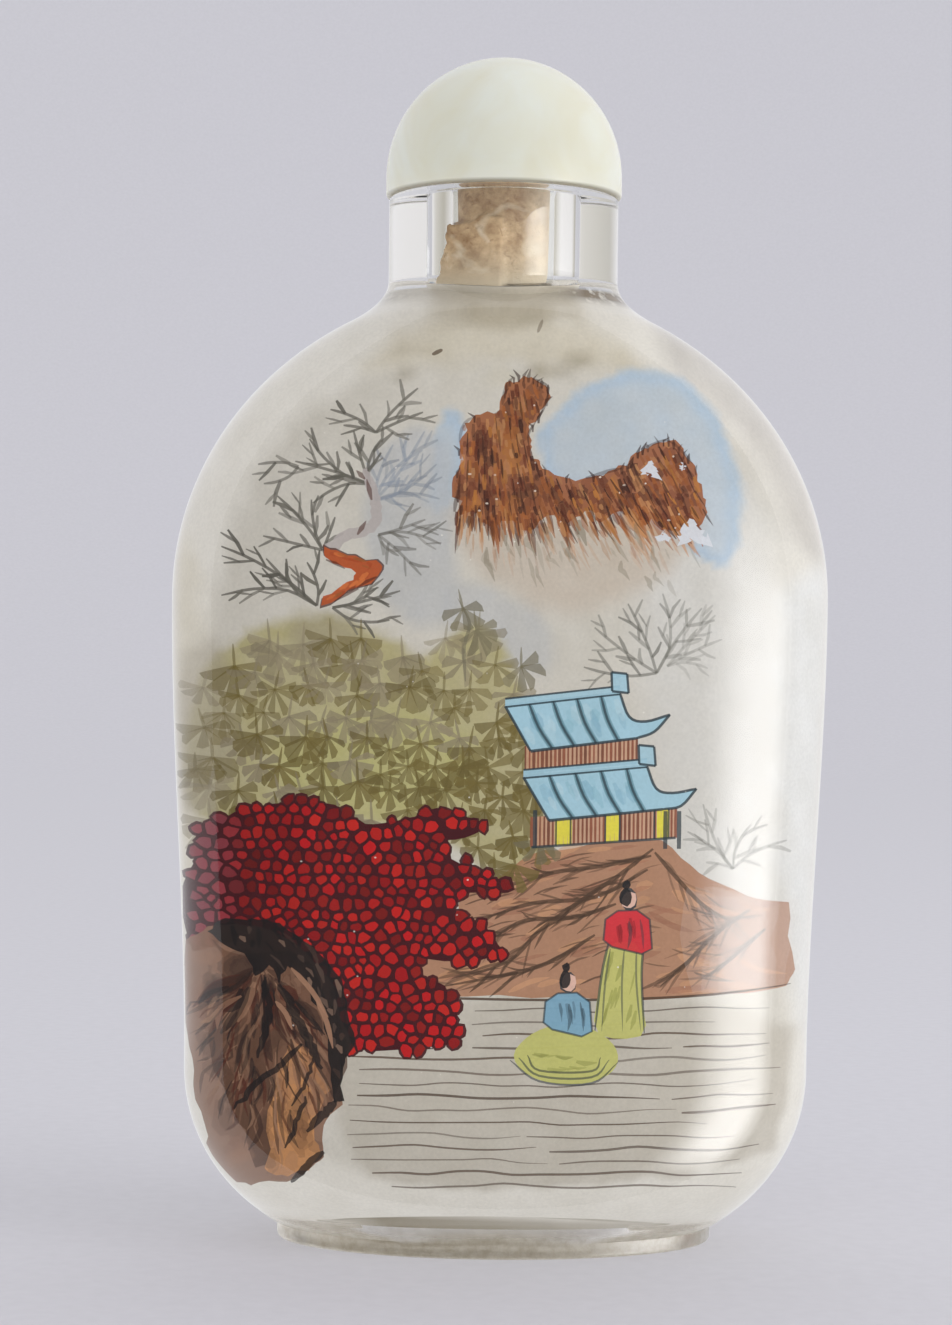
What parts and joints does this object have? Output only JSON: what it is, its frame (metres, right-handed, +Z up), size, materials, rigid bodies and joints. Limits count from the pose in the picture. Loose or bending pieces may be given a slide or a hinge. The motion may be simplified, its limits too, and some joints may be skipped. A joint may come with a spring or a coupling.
{
  "type": "snuff bottle",
  "caption": "Flattened clear glass snuff bottle on an oval foot, painted with a landscape inside its hollow body, with a domed pale green stopper on a cork plug.",
  "frame": {"origin": "under the middle of the oval foot, on the surface that the bottle stands on", "axes": "+Z up through the neck and stopper, +X to the right along the broad front, +Y to the back, so the painted front faces -Y"},
  "size_m": [0.0398, 0.022, 0.072],
  "materials": {
    "clear_glass": "polished outside, frosted and painted inside",
    "cork": "matt, mottled bark cork",
    "pale_green_stone": "polished"
  },
  "bodies": {
    "root": {"bottle": "clear_glass", "cork": "cork", "stopper": "pale_green_stone"}
  },
  "joints": []
}
